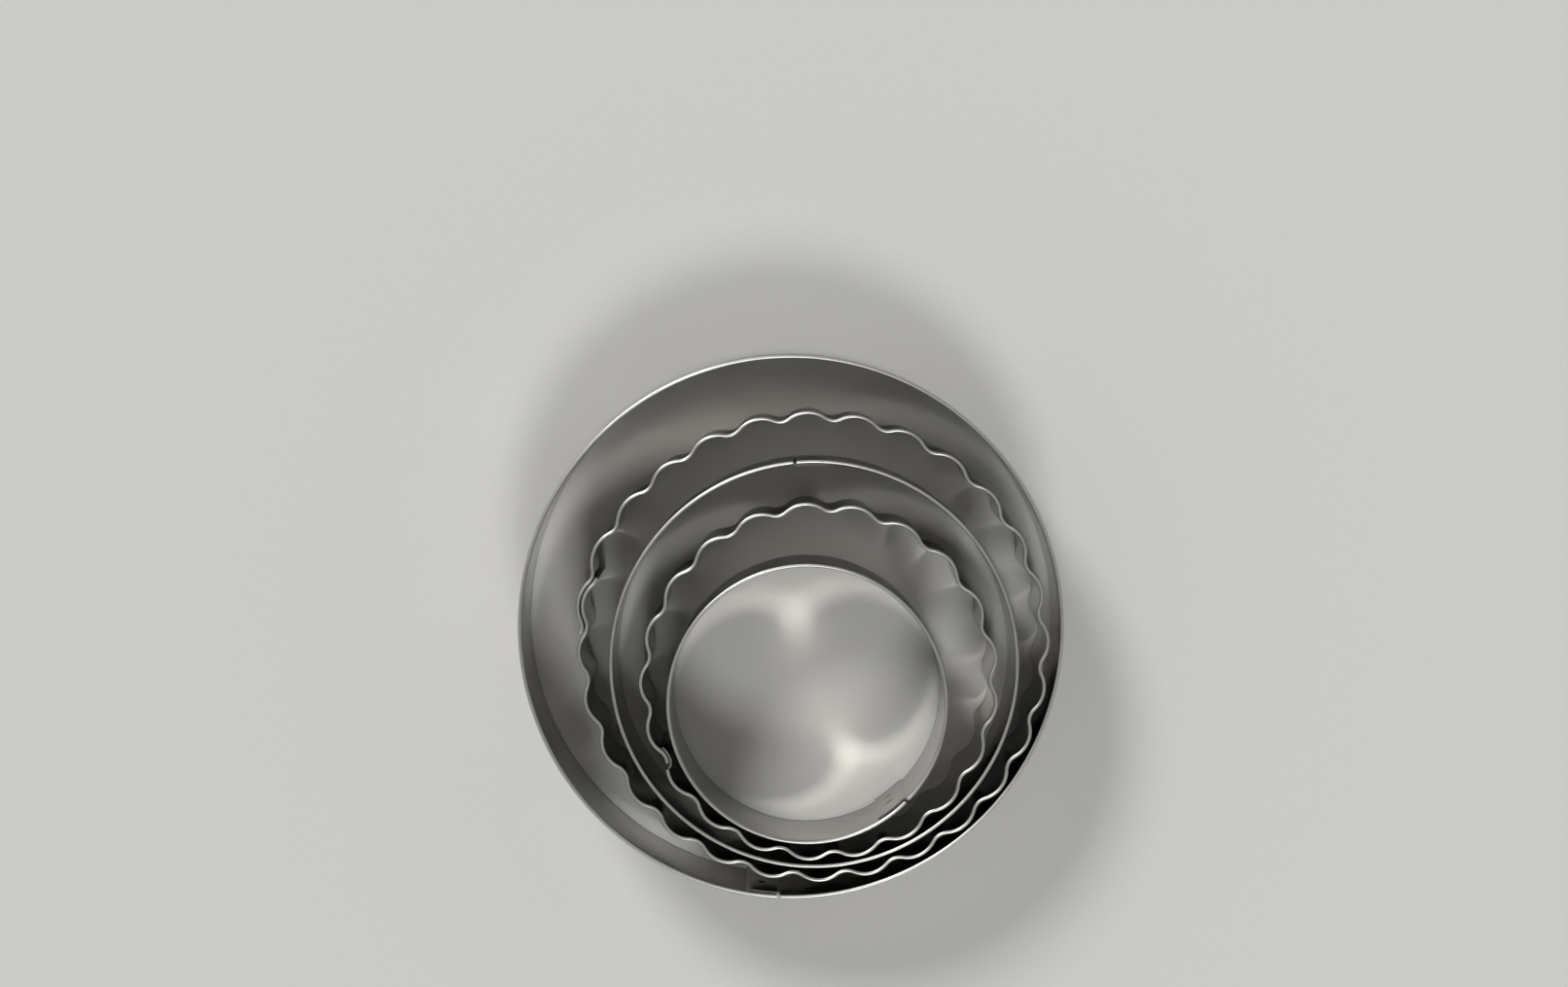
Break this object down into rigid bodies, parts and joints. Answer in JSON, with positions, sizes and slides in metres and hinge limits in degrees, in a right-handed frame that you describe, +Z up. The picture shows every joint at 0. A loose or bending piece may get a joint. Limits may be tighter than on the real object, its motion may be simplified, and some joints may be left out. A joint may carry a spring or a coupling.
{
  "type": "biscuit cutter set",
  "caption": "Nest of round tinplate biscuit cutters, plain and fluted, with folded rims and spot-welded lap seams; each lifts straight out of the nest.",
  "frame": {"origin": "centre of the largest cutter, on the surface that the cutting edges stand on", "axes": "+Z up from the cutting edges to the folded rims, -Y towards the side where the smaller cutters have slid together"},
  "size_m": [0.0842, 0.0842, 0.022],
  "materials": {
    "tinplate": "bright satin tin plating with fine rolling grain"
  },
  "bodies": {
    "large_plain": {"large_plain_cutter": "tinplate"},
    "large_fluted": {"large_fluted_cutter": "tinplate"},
    "medium_plain": {"medium_plain_cutter": "tinplate"},
    "small_fluted": {"small_fluted_cutter": "tinplate"},
    "small_plain": {"small_plain_cutter": "tinplate"}
  },
  "joints": [
    {"name": "large_fluted_lift", "type": "slide", "parent": "large_plain", "child": "large_fluted", "axis": [0, 0, 1], "range_m": [0, 0.03]},
    {"name": "medium_plain_lift", "type": "slide", "parent": "large_plain", "child": "medium_plain", "axis": [0, 0, 1], "range_m": [0, 0.03]},
    {"name": "small_fluted_lift", "type": "slide", "parent": "large_plain", "child": "small_fluted", "axis": [0, 0, 1], "range_m": [0, 0.03]},
    {"name": "small_plain_lift", "type": "slide", "parent": "large_plain", "child": "small_plain", "axis": [0, 0, 1], "range_m": [0, 0.03]}
  ]
}
